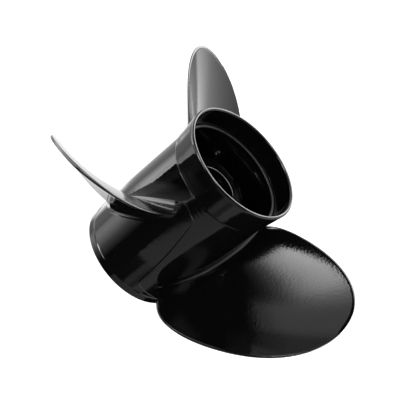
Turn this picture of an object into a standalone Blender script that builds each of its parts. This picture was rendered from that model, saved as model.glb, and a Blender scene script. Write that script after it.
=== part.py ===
"""Three-blade outboard boat propeller with a flared exhaust ring and a rubber torsion hub.

Run with: blender --background --python part.py
Metres, +Z up. The shaft axis is Z and +Z points aft: the propeller stands on its front end,
with its exhaust mouth upwards. The origin is on the axis, in the plane of the front end.
The helix is right-handed.
"""
import math

import bmesh
import bpy
import numpy as np
from mathutils import Vector

MM = 0.001
TURN_STEPS = 72                  # segments round a turned piece
GAP = 0.3 * MM                   # clearance between two fitted pieces

# Outer barrel of the casting
COLLAR_R = 54.0 * MM             # front end, sized for a 4 1/4 in gearcase
COLLAR_L = 8.5 * MM
GROOVE_DEPTH = 0.7 * MM
GROOVE_W = 1.2 * MM
BARREL_R = 55.3 * MM
BARREL_FULL_Z = 45.0 * MM        # the barrel reaches its full radius here
BARREL_WALL = 4.6 * MM
SHOULDER_Z = 127.3 * MM          # the ring seats against this shoulder
SPIGOT_Z = 136.3 * MM            # end of the spigot that carries the ring
SPIGOT_WALL = 2.7 * MM
SPIGOT_IN_R = 51.2 * MM
FRONT_IN_R = 50.0 * MM

# Diffuser ring
RING_LOW_R = 56.4 * MM
MOUTH_R = 59.7 * MM
MOUTH_Z = 155.6 * MM
RING_WALL = 3.4 * MM

# Inner hub of the casting
HUB_R = 33.5 * MM
HUB_FRONT_Z = 14.0 * MM
HUB_REAR_Z = 117.8 * MM
HUB_EDGE = 3.0 * MM
BORE_R = 27.0 * MM
BORE_END_Z = 106.0 * MM
REAR_HOLE_R = 19.3 * MM

# Ribs between the inner hub and the barrel, one below each blade
RIB_T = 6.5 * MM
RIB_Z = (18.0 * MM, 113.0 * MM)

# Torsion hub
RUBBER_Z = (20.0 * MM, 92.0 * MM)
SLEEVE_R = 16.0 * MM
SLEEVE_Z = (15.5 * MM, 96.5 * MM)
SPLINE_TEETH = 15
SPLINE_ROOT_R = 12.9 * MM        # bottom of the grooves, for a 1 in shaft
SPLINE_TIP_R = 11.4 * MM

# Blades: outline control points as (distance out from the barrel, angle in degrees), from the
# leading edge at the root, round the tip, to the trailing edge at the root
BLADES = 3
BLADE_PHASE = -4.2               # degrees round from +X to the first blade's zero line
OUTLINE = ((0.0, -43.8), (20.0, -48.7), (45.6, -45.1), (77.3, -32.1), (119.1, -11.0),
           (123.6, 20.6), (35.2, 32.8), (7.2, 32.3), (0.0, 24.5))
BLADE_Z = 76.6 * MM              # height of the zero line at the root
PITCH = (409.8, 1.644, -0.00785) # pitch in mm: at the barrel, per mm out, per mm squared
RAKE = (0.199, 0.00105)          # aft lean: per mm out, per mm squared
LEAD_EDGE_T = 2.8 * MM
TRAIL_EDGE_T = 1.5 * MM
LEAD_EDGE = 1.6 * MM             # how far in from each edge its rounding reaches
TRAIL_EDGE = 4.2 * MM
ROOT_T = 11.0 * MM               # greatest thickness at the root
TIP_T = 3.4 * MM
FILLET_HEIGHT = 9.0 * MM         # how far out from the barrel the root fillets reach
FILLET_AFT = 9.5 * MM            # their widths on the barrel: aft side, front side,
FILLET_FRONT = 7.0 * MM
FILLET_LEAD = 1.5 * MM           # and past the two ends of the root
FILLET_TRAIL = 8.0 * MM
LEAD_SHARE = 0.15                # fillets at the leading end, against those at the trailing end
FRONT_GROWTH = 0.25              # share of the chord in which the front fillet reaches its full size
TRAIL_LIFT = 0.6                 # shifts the root's trailing end towards the aft side
ROOT_SINK = 2.2 * MM             # how far the blade root runs into the barrel wall


def clear_scene():
    for obj in list(bpy.data.objects):
        bpy.data.objects.remove(obj, do_unlink=True)


def collection(name, hidden=False):
    coll = bpy.data.collections.new(name)
    bpy.context.scene.collection.children.link(coll)
    coll.hide_render = hidden
    return coll


def material(name, colour, roughness, metallic=0.0):
    mat = bpy.data.materials.new(name)
    mat.use_nodes = True
    shader = mat.node_tree.nodes["Principled BSDF"]
    shader.inputs["Base Color"].default_value = (*colour, 1.0)
    shader.inputs["Roughness"].default_value = roughness
    shader.inputs["Metallic"].default_value = metallic
    return mat


def add_object(name, mesh, coll, mat=None):
    obj = bpy.data.objects.new(name, mesh)
    coll.objects.link(obj)
    if mat:
        mesh.materials.append(mat)
    return obj


def turned(name, profile, coll, mat=None):
    """A closed ring turned about Z from a closed (radius, height) profile."""
    mesh = bpy.data.meshes.new(name)
    points = [(r, 0.0, z) for r, z in profile]
    edges = [(i, (i + 1) % len(points)) for i in range(len(points))]
    mesh.from_pydata(points, edges, [])
    obj = add_object(name, mesh, coll, mat)
    screw = obj.modifiers.new("turn", "SCREW")
    screw.axis = "Z"
    screw.steps = TURN_STEPS
    screw.render_steps = TURN_STEPS
    screw.use_merge_vertices = True
    screw.merge_threshold = 1e-5
    screw.use_smooth_shade = True
    return obj


def as_operand(obj):
    obj.display_type = "WIRE"
    obj.hide_render = True
    return obj


def join_in(body, operand, name):
    mod = body.modifiers.new(name, "BOOLEAN")
    mod.operation = "UNION"
    mod.solver = "EXACT"
    mod.object = operand


def arc(centre, radius, start, end, steps):
    """Profile points along an arc, angles in degrees."""
    points = []
    for i in range(steps + 1):
        angle = math.radians(start + (end - start) * i / steps)
        points.append((centre[0] + radius * math.cos(angle), centre[1] + radius * math.sin(angle)))
    return points


def spline(points, samples):
    """Clamped uniform cubic B-spline through the ends of its control points."""
    ctrl = np.array(points, float)
    n = len(ctrl)
    knots = np.concatenate([[0.0] * 3, np.linspace(0.0, 1.0, n - 2), [1.0] * 3])
    curve = []
    for t in np.linspace(0.0, 1.0 - 1e-9, samples):
        k = int(np.searchsorted(knots, t, side="right")) - 1
        d = [ctrl[j + k - 3].copy() for j in range(4)]
        for level in range(1, 4):
            for j in range(3, level - 1, -1):
                low = knots[j + k - 3]
                share = (t - low) / (knots[j + 1 + k - level] - low)
                d[j] = (1.0 - share) * d[j - 1] + share * d[j]
        curve.append(d[3])
    return np.array(curve)


def blade_height(out, angle):
    """Height of the aft face at a distance out (mm) and an angle (degrees), in metres."""
    pitch = PITCH[0] + PITCH[1] * out + PITCH[2] * out * out
    return BLADE_Z + (pitch * angle / 360.0 + RAKE[0] * out + RAKE[1] * out * out) * MM


def face_point(out, angle):
    radius = BARREL_R + out * MM
    turn = math.radians(angle)
    return Vector((radius * math.cos(turn), radius * math.sin(turn), blade_height(out, angle)))


def face_normal(out, angle):
    span = face_point(out + 0.1, angle) - face_point(out - 0.1, angle)
    chord = face_point(out, angle + 0.1) - face_point(out, angle - 0.1)
    normal = span.cross(chord).normalized()
    return normal if normal.z > 0.0 else -normal


def blade_stations():
    """(distance out, leading angle, trailing angle) from the root to the tip."""
    curve = spline(OUTLINE, 1200)
    top = int(np.argmax(curve[:, 0]))
    tip = curve[top, 0]
    fillet = FILLET_HEIGHT / MM
    outs = [-ROOT_SINK / MM, 0.0, 0.6, 2.0, 4.6, fillet]
    outs += [fillet + (tip - fillet) * math.sin(math.pi / 2 * i / 13) for i in range(1, 13)]
    outs.append(tip - 0.25)
    stations = []
    for out in outs:
        reach = max(out, 0.0)
        lead = float(np.interp(reach, curve[:top, 0], curve[:top, 1]))
        trail = float(np.interp(reach, curve[:top:-1, 0], curve[:top:-1, 1]))
        stations.append((out, lead, trail))
    return stations, tip


def fillet_flare(reach, height):
    """How much of its full width a root fillet has at some distance out: 1 at the barrel, then 0."""
    near = min(max(1.0 - reach / height, 0.0), 1.0)
    return 1.0 - math.sqrt(1.0 - near * near)


def blend(low, high, share):
    return low + (high - low) * min(max(share, 0.0), 1.0)


def blade_section(out, lead, trail, tip):
    """Closed ring of points round one section, and the same count at every station."""
    radius = BARREL_R / MM + out
    pitch_cos = 1.0 / math.hypot(1.0, PITCH[0] / (2 * math.pi * radius))
    per_degree = math.radians(radius) / pitch_cos
    reach = max(out, 0.0) * MM
    lead -= fillet_flare(reach, FILLET_HEIGHT * LEAD_SHARE) * FILLET_LEAD / MM / per_degree
    trail += fillet_flare(reach, FILLET_HEIGHT) * FILLET_TRAIL / MM / per_degree
    chord = (trail - lead) * per_degree
    share = 1.0 - min(max(out, 0.0) / tip, 1.0)
    middle = (TIP_T + (ROOT_T - TIP_T) * share ** 1.5) / MM
    widths = (FILLET_AFT + FILLET_FRONT) / MM / 2
    edges = []
    for width, grown in ((LEAD_EDGE, LEAD_SHARE), (TRAIL_EDGE, 1.0)):
        swell = widths * grown * fillet_flare(reach, FILLET_HEIGHT * grown)
        edges.append(min(width / MM + swell, 0.45 * chord))
    first, last = edges
    inner = [first + (chord - first - last) * i / 8 for i in range(1, 8)]
    nose = [(1 - math.cos(math.pi / 6 * i), math.sin(math.pi / 6 * i)) for i in range(4)]
    places = [(first * s, h) for s, h in nose] + [(s, 1.0) for s in inner]
    places += [(chord - last * s, h) for s, h in reversed(nose)]
    aft, front = [], []
    for s, full in places:
        v = s / chord
        bulge = (4.0 * v * (1.0 - v)) ** 0.8
        flares = []
        for width, place in ((FILLET_AFT, v), (FILLET_FRONT, min(v / FRONT_GROWTH, 1.0))):
            grown = blend(LEAD_SHARE, 1.0, place * place * (3.0 - 2.0 * place))
            flares.append(width / MM * grown * fillet_flare(reach, FILLET_HEIGHT * grown))
        aft_flare, front_flare = flares
        edge_t = blend(LEAD_EDGE_T, TRAIL_EDGE_T, v) / MM
        body = max(middle - edge_t, 0.0) * bulge
        thick = edge_t + body + aft_flare + front_flare
        centre = edge_t / 2 + body / 2 * bulge + (front_flare - aft_flare) / 2
        if v > 0.5:
            centre -= TRAIL_LIFT * aft_flare * (1.0 - full)
        angle = lead + s / per_degree
        point = face_point(out, angle)
        normal = face_normal(out, angle)
        half = thick / 2 * full
        aft.append(point + normal * (half - centre) * MM)
        front.append(point - normal * (half + centre) * MM)
    return aft + front[-2:0:-1]


def blade_mesh(name):
    stations, tip = blade_stations()
    bm = bmesh.new()
    rings = []
    for out, lead, trail in stations:
        section = blade_section(out, lead, trail, tip)
        rings.append([bm.verts.new(p) for p in section])
    count = len(rings[0])
    for low, high in zip(rings, rings[1:]):
        for i in range(count):
            j = (i + 1) % count
            bm.faces.new((low[i], low[j], high[j], high[i]))
    half = count // 2
    for ring, flip in ((rings[0], True), (rings[-1], False)):
        for i in range(half):
            quad = [ring[i], ring[i + 1], ring[(count - i - 1) % count], ring[(count - i) % count]]
            quad = list(dict.fromkeys(quad))
            if len(quad) > 2:
                bm.faces.new(quad[::-1] if flip else quad)
    bmesh.ops.recalc_face_normals(bm, faces=bm.faces)
    for face in bm.faces:
        face.smooth = True
    mesh = bpy.data.meshes.new(name)
    bm.to_mesh(mesh)
    bm.free()
    return mesh


def rib_mesh(name):
    bm = bmesh.new()
    inner = HUB_R - 2.0 * MM
    outer = BARREL_R - BARREL_WALL + 2.0 * MM
    bmesh.ops.create_cube(bm, size=1.0)
    size = Vector((outer - inner, RIB_T, RIB_Z[1] - RIB_Z[0]))
    centre = Vector(((inner + outer) / 2, 0.0, (RIB_Z[0] + RIB_Z[1]) / 2))
    for vert in bm.verts:
        vert.co = Vector(a * b for a, b in zip(vert.co, size)) + centre
    mesh = bpy.data.meshes.new(name)
    bm.to_mesh(mesh)
    bm.free()
    return mesh


def barrel_profile():
    groove = [
        (COLLAR_R, COLLAR_L),
        (COLLAR_R - GROOVE_DEPTH, COLLAR_L - GROOVE_W / 2),
        (COLLAR_R, COLLAR_L - GROOVE_W),
    ]
    return [
        (SPIGOT_IN_R, SPIGOT_Z),
        (SPIGOT_IN_R + SPIGOT_WALL, SPIGOT_Z),
        (SPIGOT_IN_R + SPIGOT_WALL, SHOULDER_Z),
        (BARREL_R, SHOULDER_Z),
        (BARREL_R, BARREL_FULL_Z),
        *groove,
        (COLLAR_R, 0.8 * MM),
        (COLLAR_R - 0.8 * MM, 0.0),
        (FRONT_IN_R, 0.0),
        (BARREL_R - BARREL_WALL, BARREL_FULL_Z),
        (BARREL_R - BARREL_WALL, SHOULDER_Z - 6.0 * MM),
    ]


def hub_profile():
    edge = HUB_R - HUB_EDGE
    return [
        (REAR_HOLE_R, HUB_REAR_Z - 0.8 * MM),
        (REAR_HOLE_R + 0.8 * MM, HUB_REAR_Z),
        *arc((edge, HUB_REAR_Z - HUB_EDGE), HUB_EDGE, 90.0, 0.0, 4),
        *arc((edge, HUB_FRONT_Z + HUB_EDGE), HUB_EDGE, 0.0, -90.0, 4),
        (BORE_R + 1.0 * MM, HUB_FRONT_Z),
        (BORE_R, HUB_FRONT_Z + 1.0 * MM),
        (BORE_R, BORE_END_Z),
        (REAR_HOLE_R, BORE_END_Z),
    ]


def build_casting(coll, operands, mat):
    body = turned("propeller_casting", barrel_profile(), coll, mat)
    hub = as_operand(turned("hub_body", hub_profile(), operands))
    rib = rib_mesh("rib_body")
    blade = blade_mesh("blade_body")
    parts = []
    for i in range(BLADES):
        turn = math.radians(BLADE_PHASE + 360.0 * i / BLADES)
        for kind, mesh in (("rib", rib), ("blade", blade)):
            piece = as_operand(add_object(f"{kind}_body_{i + 1}", mesh, operands))
            piece.rotation_euler = (0.0, 0.0, turn)
            parts.append((f"{kind} {i + 1}", piece))
    join_in(body, hub, "inner hub")
    for label, piece in parts:
        join_in(body, piece, label)
    return body


def build_ring(coll, mat):
    seat = SPIGOT_IN_R + SPIGOT_WALL + GAP
    low = SHOULDER_Z + GAP
    lip = RING_WALL / 2
    inner_mouth = MOUTH_R - RING_WALL
    clear = SPIGOT_Z + GAP
    profile = [
        *arc((MOUTH_R - lip, MOUTH_Z - lip), lip, 180.0, 0.0, 8),
        (RING_LOW_R + 0.4 * MM, low + 6.0 * MM),
        (RING_LOW_R, low + 0.8 * MM),
        (RING_LOW_R - 0.8 * MM, low),
        (seat, low),
        (seat, clear),
        ((seat + inner_mouth) / 2, clear + 9.0 * MM),
    ]
    return turned("diffuser_ring", profile, coll, mat)


def build_bushing(coll, mat):
    low, high = RUBBER_Z
    outer = BORE_R - GAP
    inner = SLEEVE_R + GAP
    dish = 2.0 * MM
    bevel = 1.5 * MM
    middle = (outer + inner) / 2
    profile = [
        (inner, high),
        (middle, high - dish),
        (outer - bevel, high),
        (outer, high - bevel),
        (outer, low + bevel),
        (outer - bevel, low),
        (middle, low + dish),
        (inner, low),
    ]
    return turned("rubber_bushing", profile, coll, mat)


def build_sleeve(coll, mat):
    """Tube with a toothed bore: rings of points joined up its height."""
    def toothed(radius_tip, radius_root):
        ring = []
        for i in range(SPLINE_TEETH * 4):
            turn = 2 * math.pi * (i + 0.5) / (SPLINE_TEETH * 4)
            radius = radius_tip if i % 4 in (0, 1) else radius_root
            ring.append((radius * math.cos(turn), radius * math.sin(turn)))
        return ring

    def plain(radius):
        return toothed(radius, radius)

    low, high = SLEEVE_Z
    bevel = 1.0 * MM
    levels = [
        (plain(SLEEVE_R - bevel), high),
        (plain(SLEEVE_R), high - bevel),
        (plain(SLEEVE_R), low + bevel),
        (plain(SLEEVE_R - bevel), low),
        (plain(SPLINE_ROOT_R + bevel / 2), low),
        (toothed(SPLINE_TIP_R, SPLINE_ROOT_R), low + 2 * bevel),
        (toothed(SPLINE_TIP_R, SPLINE_ROOT_R), high - 2 * bevel),
        (plain(SPLINE_ROOT_R + bevel / 2), high),
    ]
    bm = bmesh.new()
    rings = [[bm.verts.new((x, y, z)) for x, y in ring] for ring, z in levels]
    for a, b in zip(rings, rings[1:] + rings[:1]):
        for i in range(len(a)):
            j = (i + 1) % len(a)
            bm.faces.new((a[i], a[j], b[j], b[i]))
    bmesh.ops.recalc_face_normals(bm, faces=bm.faces)
    mesh = bpy.data.meshes.new("splined_sleeve")
    bm.to_mesh(mesh)
    bm.free()
    return add_object("splined_sleeve", mesh, coll, mat)


def main():
    clear_scene()
    parts = collection("boat_propeller")
    operands = collection("boat_propeller_operands", hidden=True)
    black = (0.012, 0.012, 0.013)
    build_casting(parts, operands, material("casting_enamel", black, 0.12))
    build_ring(parts, material("ring_enamel", black, 0.12))
    build_bushing(parts, material("hub_rubber", (0.02, 0.02, 0.02), 0.7))
    build_sleeve(parts, material("sleeve_bronze", (0.55, 0.36, 0.16), 0.35, 1.0))


main()
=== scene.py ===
"""Looks of a three-blade outboard propeller: gloss black enamel over a cast body."""
import math

import bmesh
import bpy
import numpy as np
from mathutils import Matrix, Vector


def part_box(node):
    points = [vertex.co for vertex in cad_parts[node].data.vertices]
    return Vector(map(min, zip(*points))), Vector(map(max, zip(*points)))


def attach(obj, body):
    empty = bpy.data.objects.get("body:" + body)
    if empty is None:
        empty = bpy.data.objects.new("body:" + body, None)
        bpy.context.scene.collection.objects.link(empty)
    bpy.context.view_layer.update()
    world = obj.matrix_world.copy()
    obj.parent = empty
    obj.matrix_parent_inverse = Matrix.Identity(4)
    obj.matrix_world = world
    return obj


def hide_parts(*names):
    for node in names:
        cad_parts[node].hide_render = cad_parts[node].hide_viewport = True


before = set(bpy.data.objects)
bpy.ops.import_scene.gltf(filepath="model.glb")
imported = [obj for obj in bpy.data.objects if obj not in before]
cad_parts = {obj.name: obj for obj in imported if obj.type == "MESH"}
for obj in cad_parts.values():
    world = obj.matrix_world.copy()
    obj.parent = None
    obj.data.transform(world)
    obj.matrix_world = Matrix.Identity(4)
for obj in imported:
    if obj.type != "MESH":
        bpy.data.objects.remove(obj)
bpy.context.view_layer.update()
MM = 0.001
CM = 0.01

# ---------------------------------------------------------------- sizes, from the frame
RING_LOW, RING_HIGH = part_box("diffuser_ring")
_, CASTING_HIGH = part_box("propeller_casting")
GAP = 0.3 * MM                   # between the ring and the casting
MOUTH_R = RING_HIGH.x
MOUTH_Z = RING_HIGH.z
SPIGOT_Z = CASTING_HIGH.z
SHOULDER_Z = RING_LOW.z - GAP

# ---------------------------------------------------------------- barrel and ring
COLLAR_R = 54.0 * MM
COLLAR_L = 8.5 * MM
COLLAR_SIDE = (5.5 * MM, 1.5 * MM)   # heights of its plain side
BARREL_R = 55.3 * MM
BARREL_FULL_Z = 45.0 * MM        # where the barrel reaches its full radius
BARREL_IN_R = 50.7 * MM
BARREL_IN_TOP = 6.0 * MM         # how far under the shoulder the inner wall starts to widen
WALL_RUN = 2.0 * MM              # from the shoulder, and from the front, to the first row of a wall
SPIGOT_IN_R = 51.2 * MM
SPIGOT_R = 53.9 * MM
SPIGOT_EDGE = 0.7 * MM
SHOULDER_EDGE = 0.6 * MM
FRONT_IN_R = 50.0 * MM
FRONT_EDGE = 0.8 * MM
LEDGE_DEPTH = 1.5 * MM           # how far down the spigot's end its duller finish reaches; its grey colour there is a painted sheen
RING_LOW_R = 56.4 * MM
RING_WALL = 3.4 * MM
RING_EDGE = 0.8 * MM
RING_FOOT = (0.4 * MM, 6.0 * MM)     # so much wider, at this height above its lower edge

# Turned groove behind the collar
GROOVE_DEPTH = 0.6 * MM
GROOVE_W = 1.1 * MM
GROOVE_EDGE = 0.35 * MM
TAPER_END = (0.05 * MM, 1.0 * MM)    # where the barrel's taper ends, out and up from the groove

# ---------------------------------------------------------------- inner hub and ribs
HUB_R = 33.5 * MM
HUB_Z = (14.0 * MM, 117.8 * MM)
HUB_EDGE = 3.0 * MM
HUB_SIDE = 5.0 * MM              # from either end to the straight part of the side
HUB_RIM = 1.0 * MM
BORE_R = 27.0 * MM
BORE_END_Z = 106.0 * MM
BORE_EDGE = 2.0 * MM
REAR_HOLE_R = 19.3 * MM
RIB_T = 6.5 * MM
RIB_Z = (18.0 * MM, 113.0 * MM)
RIB_FILLET = 4.0 * MM
RIB_SINK = 1.5 * MM              # how far its ends reach into the hub and the barrel

# ---------------------------------------------------------------- blades, in mm and degrees
BLADES = 3
BLADE_PHASE = -4.2
OUTLINE = ((0.0, -43.8), (20.0, -48.7), (45.6, -45.0), (77.2, -32.0), (118.5, -10.9),
           (122.9, 20.5), (35.2, 32.8), (7.2, 32.3), (0.0, 24.5))    # (distance out, angle)
BARREL_R_MM = BARREL_R / MM
BLADE_Z = 76.6
PITCH = (409.8, 1.644, -0.00785)     # for each turn, and how it changes with the distance out
RAKE = (0.199, 0.00105)          # height gained with the distance out, and with its square
LEAD_EDGE_T = 2.8
TRAIL_EDGE_T = 2.1
LEAD_EDGE = (1.6, 3.0)           # how far in the rounding reaches, and its power: 2 is elliptic
TRAIL_EDGE = (3.2, 2.0)
EDGE_CHANGE = (0.35, 0.65)       # shares of the chord between which one form turns into the other
ROOT_T = 11.0
TIP_T = 3.4
THINNING = 1.5                   # power of the thickness along the blade
CROWN = 0.8                      # power of the thickness across the blade
FILLET_HEIGHT = 9.0
FILLET_AFT = 9.5
FILLET_FRONT = 7.0
FILLET_LEAD = 1.5
FILLET_TRAIL = 8.0
LEAD_SHARE = 0.15                # fillets at the leading end, against those at the trailing end
FRONT_GROWTH = 0.25              # share of the chord in which the front fillet reaches its full size
TRAIL_LIFT = 0.6                 # share of the aft fillet by which its rounded trailing end moves aft
BLADE_SINK = 1.0                 # how far its root reaches into the barrel
TIP_STOP = 1e-4                  # how far short of the outline's highest point the last row lies

# ---------------------------------------------------------------- parting line
# Places are (degrees from the blade that it runs to, height in mm): a bead that goes round from
# the last blade's trailing root, and a fine line that goes down to this blade's leading root.
SEAM_BEAD = ((-93.6, 115.0), (-86.0, 112.6), (-80.0, 111.0), (-73.5, 109.0))
SEAM_LINE = ((-73.5, 109.0), (-72.0, 100.0), (-68.0, 80.0), (-64.8, 60.0), (-63.2, 33.0),
             (-62.4, 19.0), (-59.0, 15.0), (-46.0, 12.0), (-33.6, 9.5))
BEAD_W = 3.2 * MM
BEAD_H = 1.0 * MM
SEAM_W = 1.3 * MM
SEAM_H = 0.5 * MM
# One side of the ridge's section, in shares of its width and height
RIDGE_SIDE = ((0.5, -0.5), (0.5, 0.0), (0.14, 0.86))
RIDGE_TAPER = 6                  # points over which it rises at either end

# ---------------------------------------------------------------- fineness
TURN_STEPS = 240
HUB_STEPS = 160
EDGE_STEPS = 6
SMOOTH_ANGLE = 35.0
OUTLINE_SAMPLES = 2400
BLADE_ROWS = 72
FILLET_ROWS = 12
BLADE_ACROSS = 60
EDGE_PACKING = 2.6               # power that packs the places across a blade close to its edges
RIB_STEPS = 28
BEAD_SAMPLES = 40
SEAM_SAMPLES = 100
PANEL_STEPS = 24

# ---------------------------------------------------------------- studio and camera
CEILING_Z = 1.2
CEILING_SPIN = 22.0
WALL_R = 1.4
LAYER_GAP = 0.02                 # between layers, so that panels which overlap lie apart
FLOOR_HALF = 12.0
FLOOR_GLOW = 0.97
CAMERA_LENS = 133.1
CAMERA_SENSOR = 36.0
CAMERA_AIM = Vector((0.0109, -0.0001, 0.0956))
CAMERA_AZIMUTH = -0.53
CAMERA_ELEVATION = 32.34
CAMERA_ROLL = 50.32
CAMERA_DISTANCE = 1.3962
CAMERA_CLIP = (0.05, 60.0)


# ---------------------------------------------------------------- mesh helpers
def mesh_object(name, bm, mat):
    bmesh.ops.recalc_face_normals(bm, faces=bm.faces)
    for face in bm.faces:
        face.smooth = True
    mesh = bpy.data.meshes.new(name)
    bm.to_mesh(mesh)
    bm.free()
    mesh.set_sharp_from_angle(angle=math.radians(SMOOTH_ANGLE))
    obj = bpy.data.objects.new(name, mesh)
    bpy.context.scene.collection.objects.link(obj)
    mesh.materials.append(mat)
    return obj


def grid_faces(bm, rings, close_rings=False):
    pairs = list(zip(rings, rings[1:]))
    if close_rings:
        pairs.append((rings[-1], rings[0]))
    for low, high in pairs:
        count = len(low)
        for i in range(count):
            j = (i + 1) % count
            bm.faces.new((low[i], low[j], high[j], high[i]))


def turn_profile(bm, profile, steps=TURN_STEPS):
    """A closed ring turned about Z from a closed (radius, height) profile."""
    rings = []
    for radius, height in profile:
        ring = []
        for i in range(steps):
            turn = 2 * math.pi * i / steps
            ring.append(bm.verts.new((radius * math.cos(turn), radius * math.sin(turn), height)))
        rings.append(ring)
    grid_faces(bm, rings, close_rings=True)


def arc(centre, radius, start, end, steps=EDGE_STEPS):
    """Points round a centre, from one angle in degrees to another."""
    points = []
    for i in range(steps + 1):
        angle = math.radians(start + (end - start) * i / steps)
        points.append((centre[0] + radius * math.cos(angle), centre[1] + radius * math.sin(angle)))
    return points


def line(start, end, steps):
    return [(start[0] + (end[0] - start[0]) * i / steps, start[1] + (end[1] - start[1]) * i / steps)
            for i in range(steps + 1)]


def spline(points, samples):
    """Clamped uniform cubic B-spline, which starts and ends at its first and last control point."""
    ctrl = np.array(points, float)
    n = len(ctrl)
    knots = np.concatenate([[0.0] * 3, np.linspace(0.0, 1.0, n - 2), [1.0] * 3])
    curve = []
    for t in np.linspace(0.0, 1.0 - 1e-9, samples):
        k = int(np.searchsorted(knots, t, side="right")) - 1
        d = [ctrl[j + k - 3].copy() for j in range(4)]
        for level in range(1, 4):
            for j in range(3, level - 1, -1):
                low = knots[j + k - 3]
                share = (t - low) / (knots[j + 1 + k - level] - low)
                d[j] = (1.0 - share) * d[j - 1] + share * d[j]
        curve.append(d[3])
    return np.array(curve)


# ---------------------------------------------------------------- blade surface
def face_points(out, angle):
    """Points of the aft face, from arrays of distance out (mm) and angle (degrees), in mm."""
    radius = BARREL_R_MM + out
    pitch = PITCH[0] + PITCH[1] * out + PITCH[2] * out * out
    height = BLADE_Z + pitch * angle / 360.0 + RAKE[0] * out + RAKE[1] * out * out
    turn = np.radians(angle)
    return np.stack([radius * np.cos(turn), radius * np.sin(turn), height], -1)


def face_normals(out, angle):
    """Upward unit normals of the aft face, from its slopes over a small step either way."""
    step = 0.05
    span = face_points(out + step, angle) - face_points(out - step, angle)
    chord = face_points(out, angle + step) - face_points(out, angle - step)
    normal = np.cross(span, chord)
    normal /= np.linalg.norm(normal, axis=-1, keepdims=True)
    return normal * np.where(normal[..., 2:] < 0.0, -1.0, 1.0)


def mm_per_degree(out):
    """Length along the helix of one degree of turn, at a distance out."""
    return np.radians(np.hypot(BARREL_R_MM + out, PITCH[0] / (2 * math.pi)))


def fillet_flare(reach, height):
    """How much of its full width a root fillet has at some distance out: 1 at the barrel, then 0."""
    near = np.clip(1.0 - reach / height, 0.0, 1.0)
    return 1.0 - np.sqrt(1.0 - near * near)


def face_flares(v, reach):
    """Widths of the aft and the front root fillet, which grow from the leading end."""
    flares = []
    for width, place in ((FILLET_AFT, v), (FILLET_FRONT, np.minimum(v / FRONT_GROWTH, 1.0))):
        grown = LEAD_SHARE + (1.0 - LEAD_SHARE) * place * place * (3.0 - 2.0 * place)
        flares.append(width * grown * fillet_flare(reach[:, None], FILLET_HEIGHT * grown))
    return flares


def row_distances(tip):
    """Distances out of the rows: through the fillet, then closer and closer up to the tip."""
    fillet = [FILLET_HEIGHT * (1.0 - math.cos(math.pi / 2 * i / FILLET_ROWS))
              for i in range(1, FILLET_ROWS + 1)]
    rest = [FILLET_HEIGHT + (tip - FILLET_HEIGHT) * math.sin(math.pi / 2 * i / BLADE_ROWS)
            for i in range(1, BLADE_ROWS)]
    return np.array([-BLADE_SINK, 0.0] + fillet + rest + [tip - TIP_STOP])


def places_across():
    """Places from 0 at the leading edge to 1 at the trailing edge, packed close to both edges."""
    half_count = BLADE_ACROSS // 2
    half = (np.arange(half_count + 1) / half_count) ** EDGE_PACKING / 2
    return np.concatenate([half, 1.0 - half[-2::-1]])[None, :]


def blade_grid():
    """Aft and front point grids of one blade, from the root to the tip."""
    curve = spline(OUTLINE, OUTLINE_SAMPLES)
    top = int(np.argmax(curve[:, 0]))
    tip = curve[top, 0]
    outs = row_distances(tip)
    v = places_across()
    reach = np.clip(outs, 0.0, None)
    per_degree = mm_per_degree(outs)
    lead = np.interp(reach, curve[:top + 1, 0], curve[:top + 1, 1])
    trail = np.interp(reach, curve[:top - 1:-1, 0], curve[:top - 1:-1, 1])
    lead = lead - fillet_flare(reach, FILLET_HEIGHT * LEAD_SHARE) * FILLET_LEAD / per_degree
    trail = trail + fillet_flare(reach, FILLET_HEIGHT) * FILLET_TRAIL / per_degree
    chord = (trail - lead) * per_degree
    angle = lead[:, None] + (trail - lead)[:, None] * v
    out = np.repeat(outs[:, None], v.shape[1], 1)
    aft_flare, front_flare = face_flares(v, reach)

    # how near the edge is sets its rounding: along the chord in the fillet, and any way past it
    side = np.minimum(v, 1.0 - v) * chord[:, None]
    flat = np.stack([angle * per_degree[:, None], out], -1)
    outline = np.stack([curve[:, 1] * mm_per_degree(curve[:, 0]), curve[:, 0]], -1)
    gap = np.sqrt(((flat[:, :, None, :] - outline[None, None, ::4, :]) ** 2).sum(-1).min(-1))
    rooted = (reach < FILLET_HEIGHT)[:, None]
    inside = np.where(rooted, side, np.minimum(side, gap))
    change = np.clip((v - EDGE_CHANGE[0]) / (EDGE_CHANGE[1] - EDGE_CHANGE[0]), 0.0, 1.0)
    edge_r = LEAD_EDGE[0] + (TRAIL_EDGE[0] - LEAD_EDGE[0]) * change + (aft_flare + front_flare) / 2
    power = LEAD_EDGE[1] + (TRAIL_EDGE[1] - LEAD_EDGE[1]) * change
    near_edge = np.clip(1.0 - inside / np.minimum(edge_r, 0.5 * chord[:, None] + 1e-6), 0.0, 1.0)
    full = (1.0 - near_edge ** power) ** (1.0 / power)

    # thickness, all of it in front of the aft face but for the aft fillet
    edge_t = LEAD_EDGE_T + (TRAIL_EDGE_T - LEAD_EDGE_T) * v
    share = 1.0 - np.clip(outs / tip, 0.0, 1.0)[:, None]
    middle = TIP_T + (ROOT_T - TIP_T) * share ** THINNING
    crown = np.clip(4.0 * v * (1.0 - v), 0.0, 1.0) ** CROWN
    body = np.maximum(middle - edge_t, 0.0) * crown
    thick = edge_t + body + aft_flare + front_flare
    centre = (edge_t + body + front_flare - aft_flare) / 2
    centre = centre - np.where(v > 0.5, TRAIL_LIFT * aft_flare * (1.0 - full), 0.0)
    point = face_points(out, angle)
    normal = face_normals(out, angle)
    aft = point + normal * (thick / 2 * full - centre)[..., None]
    front = point - normal * (thick / 2 * full + centre)[..., None]
    return aft * MM, front * MM


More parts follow.
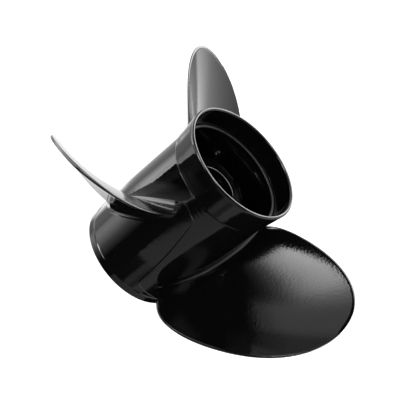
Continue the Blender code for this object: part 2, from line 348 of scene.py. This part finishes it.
def add_blade(bm, turn):
    aft, front = blade_grid()
    place = Matrix.Rotation(turn, 3, "Z")
    rings = []
    for a, f in zip(aft, front):
        loop = list(a) + list(f[-2:0:-1])
        rings.append([bm.verts.new(place @ Vector(p)) for p in loop])
    grid_faces(bm, rings)
    bm.faces.new(rings[0][::-1])
    bmesh.ops.remove_doubles(bm, verts=rings[-1], dist=0.05 * MM)


# ---------------------------------------------------------------- materials
def new_material(name):
    mat = bpy.data.materials.new(name)
    mat.use_nodes = True
    nodes = mat.node_tree.nodes
    return mat, nodes, mat.node_tree.links, nodes["Principled BSDF"]


def ramp_between(nodes, links, source, low, high):
    """Turn the middle of a noise's range into values that run from low to high."""
    spread = nodes.new("ShaderNodeMapRange")
    spread.inputs["From Min"].default_value = 0.3
    spread.inputs["From Max"].default_value = 0.7
    spread.inputs["To Min"].default_value = low
    spread.inputs["To Max"].default_value = high
    links.new(source, spread.inputs["Value"])
    return spread.outputs["Result"]


def noise(nodes, links, place, scale, detail=2.0):
    texture = nodes.new("ShaderNodeTexNoise")
    texture.inputs["Scale"].default_value = scale
    texture.inputs["Detail"].default_value = detail
    links.new(place, texture.inputs["Vector"])
    return texture.outputs["Fac"]


def add_bump(nodes, links, height, strength, distance, under=None):
    bump = nodes.new("ShaderNodeBump")
    bump.inputs["Strength"].default_value = strength
    bump.inputs["Distance"].default_value = distance
    links.new(height, bump.inputs["Height"])
    if under is not None:
        links.new(under, bump.inputs["Normal"])
    return bump.outputs["Normal"]


def tint(nodes, links, source, first, last, start, stop):
    """Colours from first, at the value start, to last, at the value stop."""
    ramp = nodes.new("ShaderNodeValToRGB")
    for element, place, colour in zip(ramp.color_ramp.elements, (start, stop), (first, last)):
        element.position = place
        element.color = (*colour, 1.0)
    links.new(source, ramp.inputs["Fac"])
    return ramp.outputs["Color"]


def enamel(name):
    """Gloss black enamel: a hard clear film with fine orange peel and a few specks of dust."""
    mat, nodes, links, shader = new_material(name)
    shader.inputs["IOR"].default_value = 1.5
    place = nodes.new("ShaderNodeTexCoord").outputs["Object"]
    dust = nodes.new("ShaderNodeTexVoronoi")
    dust.inputs["Scale"].default_value = 75.0
    dust.inputs["Randomness"].default_value = 1.0
    links.new(place, dust.inputs["Vector"])
    colour = tint(nodes, links, dust.outputs["Distance"], first=(0.05, 0.05, 0.05),
                  last=(0.0025, 0.0025, 0.0027), start=0.018, stop=0.03)
    links.new(colour, shader.inputs["Base Color"])
    haze = noise(nodes, links, place, scale=45.0, detail=4.0)
    links.new(ramp_between(nodes, links, haze, low=0.045, high=0.075), shader.inputs["Roughness"])
    waves = noise(nodes, links, place, scale=90.0)
    sag = add_bump(nodes, links, waves, strength=0.02, distance=1.0 * MM)
    grain = noise(nodes, links, place, scale=480.0)
    peel = add_bump(nodes, links, grain, strength=0.1, distance=0.4 * MM, under=sag)
    links.new(peel, shader.inputs["Normal"])
    return mat


def dull_end_painted_sheen(name):
    """The spigot's machined end: fine turning lines under a thin dull coat, and a grey base colour that
    is a painted sheen, standing in for the soft reflection of the white studio.
    """
    mat, nodes, links, shader = new_material(name)
    place = nodes.new("ShaderNodeTexCoord").outputs["Object"]
    turned = nodes.new("ShaderNodeTexWave")
    turned.wave_type = "RINGS"
    turned.rings_direction = "Z"
    turned.inputs["Scale"].default_value = 900.0
    turned.inputs["Distortion"].default_value = 0.6
    links.new(place, turned.inputs["Vector"])
    patches = noise(nodes, links, place, scale=120.0, detail=4.0)
    # Painted sheen: this grey base colour stands in for the soft reflection that the dull end would
    # show.
    colour = tint(nodes, links, patches, first=(0.027, 0.026, 0.026), last=(0.05, 0.049, 0.047),
                  start=0.35, stop=0.7)
    links.new(colour, shader.inputs["Base Color"])
    links.new(ramp_between(nodes, links, patches, low=0.36, high=0.5), shader.inputs["Roughness"])
    rings = add_bump(nodes, links, turned.outputs["Fac"], strength=0.15, distance=0.05 * MM)
    links.new(rings, shader.inputs["Normal"])
    return mat


def rubber(name):
    """Moulded black rubber: dull, with a fine grain and a greyer bloom in patches."""
    mat, nodes, links, shader = new_material(name)
    place = nodes.new("ShaderNodeTexCoord").outputs["Object"]
    bloom = noise(nodes, links, place, scale=55.0, detail=5.0)
    colour = tint(nodes, links, bloom, first=(0.009, 0.009, 0.009), last=(0.026, 0.025, 0.025),
                  start=0.4, stop=0.72)
    links.new(colour, shader.inputs["Base Color"])
    links.new(ramp_between(nodes, links, bloom, low=0.62, high=0.82), shader.inputs["Roughness"])
    grain = noise(nodes, links, place, scale=1400.0, detail=3.0)
    links.new(add_bump(nodes, links, grain, strength=0.3, distance=0.08 * MM), shader.inputs["Normal"])
    return mat


def bronze(name):
    """Broached bronze, dark with age and darker still as painted shade, so that its end reads black
    down the shaded bore, with lines along the teeth and a browner tarnish in patches.
    """
    mat, nodes, links, shader = new_material(name)
    shader.inputs["Metallic"].default_value = 1.0
    place = nodes.new("ShaderNodeTexCoord").outputs["Object"]
    stretch = nodes.new("ShaderNodeMapping")
    stretch.inputs["Scale"].default_value = (1.0, 1.0, 0.04)
    links.new(place, stretch.inputs["Vector"])
    lines = noise(nodes, links, stretch.outputs["Vector"], scale=2200.0)
    tarnish = noise(nodes, links, place, scale=80.0, detail=4.0)
    # Painted shade: the bronze colours are kept very dark so that the sleeve's end reads black down the
    # bore.
    colour = tint(nodes, links, tarnish, first=(0.13, 0.085, 0.045), last=(0.06, 0.04, 0.025),
                  start=0.4, stop=0.75)
    links.new(colour, shader.inputs["Base Color"])
    links.new(ramp_between(nodes, links, tarnish, low=0.28, high=0.48), shader.inputs["Roughness"])
    links.new(add_bump(nodes, links, lines, strength=0.12, distance=0.05 * MM), shader.inputs["Normal"])
    return mat


# ---------------------------------------------------------------- pieces
def barrel_radius(height):
    share = (height - COLLAR_L) / (BARREL_FULL_Z - COLLAR_L)
    return COLLAR_R + (BARREL_R - COLLAR_R) * min(max(share, 0.0), 1.0)


def groove_profile():
    """The turned groove behind the collar: a steep upper side and a lower side that slopes out."""
    edge = GROOVE_EDGE
    bottom = COLLAR_R - GROOVE_DEPTH
    low = COLLAR_L - GROOVE_W
    return [
        *arc((COLLAR_R - edge, COLLAR_L + edge), edge, 0.0, -80.0, steps=5),
        *arc((bottom + edge, COLLAR_L - 0.6 * edge), edge / 2, 100.0, 230.0),
        *arc((COLLAR_R - edge, low - edge), edge, 55.0, 0.0, steps=5),
    ]


def barrel_profile():
    """Down the outside from the spigot's end to the front, then up the inside."""
    taper_end = (COLLAR_R + TAPER_END[0], COLLAR_L + TAPER_END[1])
    return [
        *arc((SPIGOT_IN_R + SPIGOT_EDGE, SPIGOT_Z - SPIGOT_EDGE), SPIGOT_EDGE, 180.0, 90.0),
        *arc((SPIGOT_R - SPIGOT_EDGE, SPIGOT_Z - SPIGOT_EDGE), SPIGOT_EDGE, 90.0, 0.0),
        (SPIGOT_R, SHOULDER_Z),
        *arc((BARREL_R - SHOULDER_EDGE, SHOULDER_Z - SHOULDER_EDGE), SHOULDER_EDGE, 90.0, 0.0),
        *line((BARREL_R, SHOULDER_Z - WALL_RUN), (BARREL_R, BARREL_FULL_Z), steps=14),
        *line((BARREL_R, BARREL_FULL_Z), taper_end, steps=8)[1:],
        *groove_profile(),
        *line((COLLAR_R, COLLAR_SIDE[0]), (COLLAR_R, COLLAR_SIDE[1]), steps=4),
        *arc((COLLAR_R - FRONT_EDGE, FRONT_EDGE), FRONT_EDGE, 0.0, -90.0),
        *arc((FRONT_IN_R + FRONT_EDGE, FRONT_EDGE), FRONT_EDGE, -90.0, -180.0),
        *line((FRONT_IN_R, WALL_RUN), (BARREL_IN_R, BARREL_FULL_Z), steps=6),
        *line((BARREL_IN_R, BARREL_FULL_Z), (BARREL_IN_R, SHOULDER_Z - BARREL_IN_TOP), steps=8)[1:],
    ]


def hub_profile():
    """Down the outside from the rear hole to the front, then up the bore."""
    low, high = HUB_Z
    edge_r = HUB_R - HUB_EDGE
    return [
        *arc((REAR_HOLE_R + HUB_RIM, high - HUB_RIM), HUB_RIM, 180.0, 90.0),
        *arc((edge_r, high - HUB_EDGE), HUB_EDGE, 90.0, 0.0, steps=10),
        *line((HUB_R, high - HUB_SIDE), (HUB_R, low + HUB_SIDE), steps=8),
        *arc((edge_r, low + HUB_EDGE), HUB_EDGE, 0.0, -90.0, steps=10),
        *arc((BORE_R + HUB_RIM, low + HUB_RIM), HUB_RIM, -90.0, -180.0),
        *line((BORE_R, low + BORE_EDGE), (BORE_R, BORE_END_Z - BORE_EDGE), steps=8),
        *arc((BORE_R - BORE_EDGE, BORE_END_Z - BORE_EDGE), BORE_EDGE, 0.0, 90.0)[1:],
        (REAR_HOLE_R, BORE_END_Z),
    ]


def add_rib(bm, turn):
    """A rib from hub to barrel, lofted outwards: it swells into a fillet all round at both ends."""
    inner = HUB_R - RIB_SINK
    outer = BARREL_IN_R + RIB_SINK
    place = Matrix.Rotation(turn, 3, "Z")
    rings = []
    for i in range(RIB_STEPS + 1):
        out = inner + (outer - inner) * (1.0 - math.cos(math.pi * i / RIB_STEPS)) / 2
        wall_gap = min(out - HUB_R, BARREL_IN_R - out)
        near = min(max(1.0 - wall_gap / RIB_FILLET, 0.0), 1.0)
        swell = RIB_FILLET * (1.0 - math.sqrt(1.0 - near * near))
        half = RIB_T / 2 + swell
        top = RIB_Z[1] + swell - half
        bottom = RIB_Z[0] - swell + half
        ring = [*arc((0.0, top), half, 0.0, 180.0, steps=12),
                *arc((0.0, bottom), half, 180.0, 360.0, steps=12)]
        rings.append([bm.verts.new(place @ Vector((out, y, z))) for y, z in ring])
    grid_faces(bm, rings)
    bm.faces.new(rings[0][::-1])
    bm.faces.new(rings[-1])


def add_ridge(bm, path, width, height):
    """A low ridge with two flat flanks and a rounded crest, along (degrees, height) places."""
    points = [Vector((barrel_radius(z) * math.cos(math.radians(a)),
                      barrel_radius(z) * math.sin(math.radians(a)), z)) for a, z in path]
    section = [*RIDGE_SIDE, (0.0, 1.0), *((-x, y) for x, y in reversed(RIDGE_SIDE))]
    rings = []
    last = len(points) - 1
    for i, point in enumerate(points):
        ahead = points[min(i + 1, last)] - points[max(i - 1, 0)]
        normal = Vector((point.x, point.y, 0.0)).normalized()
        across = ahead.cross(normal).normalized()
        share = min(1.0, (min(i, last - i) + 1) / RIDGE_TAPER)
        rings.append([bm.verts.new(point + across * (width * share * x) + normal * (height * share * y))
                      for x, y in section])
    grid_faces(bm, rings)
    bm.faces.new(rings[0][::-1])
    bm.faces.new(rings[-1])


def add_seam(bm, phase):
    """Parting line of the mould: round from one blade's trailing root, then down to the next blade."""
    for places, width, height, samples in ((SEAM_BEAD, BEAD_W, BEAD_H, BEAD_SAMPLES),
                                           (SEAM_LINE, SEAM_W, SEAM_H, SEAM_SAMPLES)):
        path = [(phase + a, z * MM) for a, z in spline(places, samples)]
        add_ridge(bm, path, width, height)


def build_casting(mat, painted_sheen_end):
    bm = bmesh.new()
    turn_profile(bm, barrel_profile())
    turn_profile(bm, hub_profile(), HUB_STEPS)
    for i in range(BLADES):
        phase = BLADE_PHASE + 360.0 * i / BLADES
        add_blade(bm, math.radians(phase))
        add_rib(bm, math.radians(phase))
        add_seam(bm, phase)
    piece = mesh_object("casting", bm, mat)
    piece.data.materials.append(painted_sheen_end)
    # The spigot's end gets the dull finish whose grey colour is a painted sheen.
    for face in piece.data.polygons:
        if face.center.z > SPIGOT_Z - LEDGE_DEPTH and face.center.xy.length < BARREL_R:
            face.material_index = 1
    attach(piece, "propeller")
    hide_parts("propeller_casting")


def build_ring(mat):
    """The flared ring: over its rolled lip, down the outside, then up the seat and the inside."""
    low = RING_LOW.z
    lip = RING_WALL / 2
    lip_z = MOUTH_Z - lip
    seat = SPIGOT_R + GAP
    foot = (RING_LOW_R + RING_FOOT[0], low + RING_FOOT[1])
    over_spigot = (seat, SPIGOT_Z + GAP)
    profile = [
        *arc((MOUTH_R - lip, lip_z), lip, 180.0, 0.0, steps=14),
        *line((MOUTH_R, lip_z), foot, steps=8)[1:],
        *arc((RING_LOW_R - RING_EDGE, low + RING_EDGE), RING_EDGE, 0.0, -90.0, steps=4),
        (seat, low),
        over_spigot,
        *line(over_spigot, (MOUTH_R - RING_WALL, lip_z), steps=8)[1:-1],
    ]
    bm = bmesh.new()
    turn_profile(bm, profile)
    piece = mesh_object("ring", bm, mat)
    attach(piece, "propeller")
    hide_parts("diffuser_ring")


def refinish(node, mat):
    """Give a CAD node that keeps its shape a new material."""
    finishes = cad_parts[node].data.materials
    finishes.clear()
    finishes.append(mat)


# ---------------------------------------------------------------- stage
def build_floor():
    """A white sheet that the enamel doesn't mirror: the panels stand for it there."""
    mat, _, _, shader = new_material("floor_white")
    shader.inputs["Base Color"].default_value = (0.5, 0.5, 0.5, 1.0)
    shader.inputs["Roughness"].default_value = 1.0
    shader.inputs["Emission Color"].default_value = (1.0, 1.0, 1.0, 1.0)
    shader.inputs["Emission Strength"].default_value = FLOOR_GLOW
    bm = bmesh.new()
    bmesh.ops.create_grid(bm, x_segments=1, y_segments=1, size=FLOOR_HALF)
    floor = mesh_object("floor", bm, mat)
    floor.visible_glossy = False
    floor.visible_shadow = False


def direction(azimuth, elevation):
    """Azimuth 0 is toward -Y, 90 toward +X."""
    a, e = math.radians(azimuth), math.radians(elevation)
    return Vector((math.sin(a) * math.cos(e), -math.cos(a) * math.cos(e), math.sin(e)))


def glow_material(name, level, across, along):
    """Emission that follows two level curves, each a list of (place from 0 to 1, level) stops."""
    mat = bpy.data.materials.new(name)
    mat.use_nodes = True
    nodes, links = mat.node_tree.nodes, mat.node_tree.links
    nodes.clear()
    coords = nodes.new("ShaderNodeTexCoord")
    split = nodes.new("ShaderNodeSeparateXYZ")
    links.new(coords.outputs["UV"], split.inputs["Vector"])
    product = nodes.new("ShaderNodeMath")
    product.operation = "MULTIPLY"
    for i, curve in enumerate((across, along)):
        ramp = nodes.new("ShaderNodeValToRGB")
        elements = ramp.color_ramp.elements
        while len(elements) < len(curve):
            elements.new(1.0)
        for element, (place, tone) in zip(elements, curve):
            element.position = place
            element.color = (tone, tone, tone, 1.0)
        links.new(split.outputs[i], ramp.inputs["Fac"])
        links.new(ramp.outputs["Color"], product.inputs[i])
    gain = nodes.new("ShaderNodeMath")
    gain.operation = "MULTIPLY"
    gain.inputs[1].default_value = level
    links.new(product.outputs["Value"], gain.inputs[0])
    glow = nodes.new("ShaderNodeEmission")
    links.new(gain.outputs["Value"], glow.inputs["Strength"])
    clear = nodes.new("ShaderNodeBsdfTransparent")
    both = nodes.new("ShaderNodeAddShader")
    links.new(glow.outputs["Emission"], both.inputs[0])
    links.new(clear.outputs["BSDF"], both.inputs[1])
    target = nodes.new("ShaderNodeOutputMaterial")
    links.new(both.outputs["Shader"], target.inputs["Surface"])
    return mat


def reflector(name, place, level, across, along):
    """A panel that is seen only in reflections. place(u, v) gives its points, u and v from 0 to 1."""
    bm = bmesh.new()
    layer = bm.loops.layers.uv.new("UVMap")
    steps = PANEL_STEPS
    grid = [[bm.verts.new(place(i / steps, j / steps)) for i in range(steps + 1)]
            for j in range(steps + 1)]
    for j in range(steps):
        for i in range(steps):
            face = bm.faces.new((grid[j][i], grid[j][i + 1], grid[j + 1][i + 1], grid[j + 1][i]))
            corners = ((i, j), (i + 1, j), (i + 1, j + 1), (i, j + 1))
            for loop, (a, b) in zip(face.loops, corners):
                loop[layer].uv = (a / steps, b / steps)
    obj = mesh_object(name, bm, glow_material(name, level, across, along))
    obj.visible_camera = False
    obj.visible_diffuse = False
    obj.visible_shadow = False


def from_0_to_1(low, high, curve):
    """Bring a level curve's places from their real range to 0 to 1."""
    return [((place - low) / (high - low), level) for place, level in curve]


def overhead(name, across, along, level, layer=0, bow=0.0, bow_at=0.0):
    """A level panel under the studio ceiling. Places are centimetres in a frame turned about Z.

    bow curves it, so that its places across move back with the square of the distance to bow_at."""
    spin = math.radians(CEILING_SPIN)
    low_u, high_u = across[0][0], across[-1][0]
    low_v, high_v = along[0][0], along[-1][0]

    def place(u, v):
        y = low_v + (high_v - low_v) * v
        x = low_u + (high_u - low_u) * u - bow * (y - bow_at) ** 2
        return (CM * (x * math.cos(spin) - y * math.sin(spin)),
                CM * (x * math.sin(spin) + y * math.cos(spin)), CEILING_Z + LAYER_GAP * layer)

    reflector(name, place, level, from_0_to_1(low_u, high_u, across), from_0_to_1(low_v, high_v, along))


def wall(name, across, along, level, layer=0, lean=(0.0, 0.0)):
    """An upright curved panel. across is in degrees round the axis, along in metres up.

    lean turns its two upright edges round the axis by so many degrees for each metre up."""
    low_a, high_a = across[0][0], across[-1][0]
    low_z, high_z = along[0][0], along[-1][0]
    radius = WALL_R + LAYER_GAP * layer

    def place(u, v):
        height = low_z + (high_z - low_z) * v
        first = low_a + lean[0] * (height - high_z)
        last = high_a + lean[1] * (height - high_z)
        turn = math.radians(first + (last - first) * u)
        return (radius * math.sin(turn), -radius * math.cos(turn), height)

    reflector(name, place, level, from_0_to_1(low_a, high_a, across), from_0_to_1(low_z, high_z, along))


def build_world():
    """Even white light for matt surfaces, which the enamel doesn't mirror."""
    world = bpy.data.worlds.new("studio")
    bpy.context.scene.world = world
    world.use_nodes = True
    sky = world.node_tree.nodes["Background"]
    sky.inputs["Color"].default_value = (1.0, 1.0, 1.0, 1.0)
    sky.inputs["Strength"].default_value = 1.0
    world.cycles_visibility.glossy = False
    world.cycles_visibility.diffuse = True


def build_key():
    """The softboxes overhead, which the lower blade mirrors."""
    overhead("key_softbox",
             across=[(-56, 0.0), (-46, 0.03), (-38, 0.11), (-34, 0.22), (-30, 0.38), (-22, 0.66),
                     (-9.2, 1.0)],
             along=[(-53, 0.0), (-50, 0.08), (-45.5, 0.78), (-36, 1.0), (-24, 1.0), (-6, 0.85),
                    (0, 0.76), (6, 0.5), (12, 0.2), (20, 0.03), (28, 0.0)],
             level=9.4, bow=0.0045, bow_at=-20.0)
    overhead("top_fill",
             across=[(-58.8, 0.62), (-53, 0.64), (-49, 1.0), (-14, 1.0)],
             along=[(0, 0.0), (8, 0.35), (14, 0.85), (20, 1.0), (40, 0.95), (48, 0.75), (54, 0.4),
                    (90, 0.36)],
             level=0.95, layer=1)


def build_sides():
    """Upright panels round the front and both sides, mirrored mainly by the barrel and the ring."""
    wall("strip_left",
         across=[(-55, 0.0), (-48, 0.2), (-38, 0.6), (-27, 1.0)],
         along=[(-0.86, 1.0), (0.1, 1.0), (0.6, 0.9), (1.0, 0.0)],
         level=4.5, layer=0, lean=(34.0, 34.0))
    wall("side_softbox",
         across=[(-140, 0.0), (-126, 0.8), (-95, 1.0), (-76, 0.35), (-62, 0.1)],
         along=[(-0.62, 0.3), (-0.4, 0.8), (0.35, 1.0), (0.5, 0.0)],
         level=3.6, layer=7)
    wall("front_strip",
         across=[(-58, 1.0), (-47, 1.0)],
         along=[(0.0, 1.0), (0.65, 1.0)],
         level=8.0, layer=8)
    wall("front_high",
         across=[(-64, 0.0), (-60, 1.0), (-34, 1.0), (-28, 0.0), (26, 0.0), (32, 0.15), (60, 0.12)],
         along=[(0.5, 1.0), (1.05, 1.0)],
         level=7.0, layer=9)
    wall("front_slot",
         across=[(-14, 1.0), (28, 1.0)],
         along=[(1.12, 1.0), (1.36, 1.0)],
         level=1.6, layer=9)
    wall("right_fill",
         across=[(62, 0.6), (80, 1.0), (124, 1.0)],
         along=[(-0.5, 1.0), (1.2, 1.0)],
         level=1.2, layer=8)


def build_fills():
    """Panels behind, and overhead at the back and at the left."""
    wall("behind",
         across=[(168, 1.0), (200, 1.0)],
         along=[(0.45, 1.0), (1.3, 1.0)],
         level=5.0, layer=10)
    overhead("back_fill",
             across=[(-14, 0.0), (-8, 1.0), (90, 1.0)],
             along=[(34, 0.0), (40, 1.0), (120, 1.0)],
             level=9.0, layer=3)
    overhead("left_fill",
             across=[(-130, 0.0), (-115, 1.0), (-84, 1.0)],
             along=[(-70, 0.0), (-50, 1.0), (50, 1.0), (70, 0.0)],
             level=2.2, layer=2)


def build_sheet():
    """The white sheet behind and under the propeller, as the enamel mirrors it."""
    wall("sheet_left",
         across=[(-180, 1.0), (-158, 1.0), (-145, 0.8), (-122, 0.75), (-108, 1.0), (-96, 1.0)],
         along=[(-2.5, 0.8), (-0.98, 0.8), (-0.88, 1.0), (1.3, 1.0), (1.7, 0.0)],
         level=1.0, layer=1)
    wall("sheet_left_low",
         across=[(-170, 0.0), (-160, 1.0), (-140, 1.0), (-126, 0.0)],
         along=[(-2.5, 1.0), (-0.93, 1.0), (-0.895, 0.0)],
         level=1.4, layer=2)
    wall("sheet_left_foot",
         across=[(-96, 0.5), (-88, 0.85), (-78, 1.0), (-65, 0.7), (-53, 0.3), (-34, 0.0)],
         along=[(-2.0, 0.8), (-1.0, 1.0), (-0.9, 1.0), (-0.86, 0.0)],
         level=2.2, layer=3)
    wall("sheet_back",
         across=[(125, 0.5), (140, 0.6), (152, 0.75), (157, 0.85), (161, 1.2), (165.5, 1.4), (167, 0.4),
                 (180, 0.4)],
         along=[(-0.75, 0.4), (-0.45, 1.0), (0.6, 1.0), (1.3, 0.8)],
         level=1.85, layer=4)
    wall("sheet_back_low",
         across=[(150, 1.0), (180, 1.0)],
         along=[(-2.5, 0.8), (-0.98, 0.8), (-0.75, 1.0)],
         level=1.0, layer=5)
    wall("glow_right",
         across=[(52, 1.0), (70, 1.0)],
         along=[(-0.95, 1.0), (-0.82, 0.9), (-0.7, 0.7), (-0.62, 0.0)],
         level=0.42, layer=6, lean=(150.0, -60.0))
    wall("glow_right_foot",
         across=[(4, 1.0), (88, 1.0)],
         along=[(-1.12, 1.0), (-0.95, 1.0)],
         level=0.42, layer=6)
    wall("glow_ring",
         across=[(24, 0.0), (30, 0.75), (38, 0.7), (43, 0.35), (49, 0.4), (54, 1.0), (72, 0.85),
                 (78, 0.0)],
         along=[(-2.4, 1.0), (-1.12, 1.0)],
         level=0.42, layer=6)


def build_camera():
    camera = bpy.data.cameras.new("camera")
    camera.lens = CAMERA_LENS
    camera.sensor_width = CAMERA_SENSOR
    camera.clip_start, camera.clip_end = CAMERA_CLIP
    obj = bpy.data.objects.new("camera", camera)
    bpy.context.scene.collection.objects.link(obj)
    way = direction(CAMERA_AZIMUTH, CAMERA_ELEVATION)
    obj.location = CAMERA_AIM + way * CAMERA_DISTANCE
    look = (-way).to_track_quat("-Z", "Y")
    roll = Matrix.Rotation(math.radians(CAMERA_ROLL), 3, "Z").to_quaternion()
    obj.rotation_mode = "QUATERNION"
    obj.rotation_quaternion = look @ roll
    bpy.context.scene.camera = obj


def main():
    build_camera()
    build_floor()
    build_world()
    build_key()
    build_sides()
    build_fills()
    build_sheet()
    bpy.context.scene.view_settings.view_transform = "Standard"
    black = enamel("casting_enamel")
    build_casting(black, dull_end_painted_sheen("casting_dull_end_painted_sheen"))
    build_ring(black)
    refinish("rubber_bushing", rubber("hub_rubber"))
    refinish("splined_sleeve", bronze("sleeve_bronze"))


main()
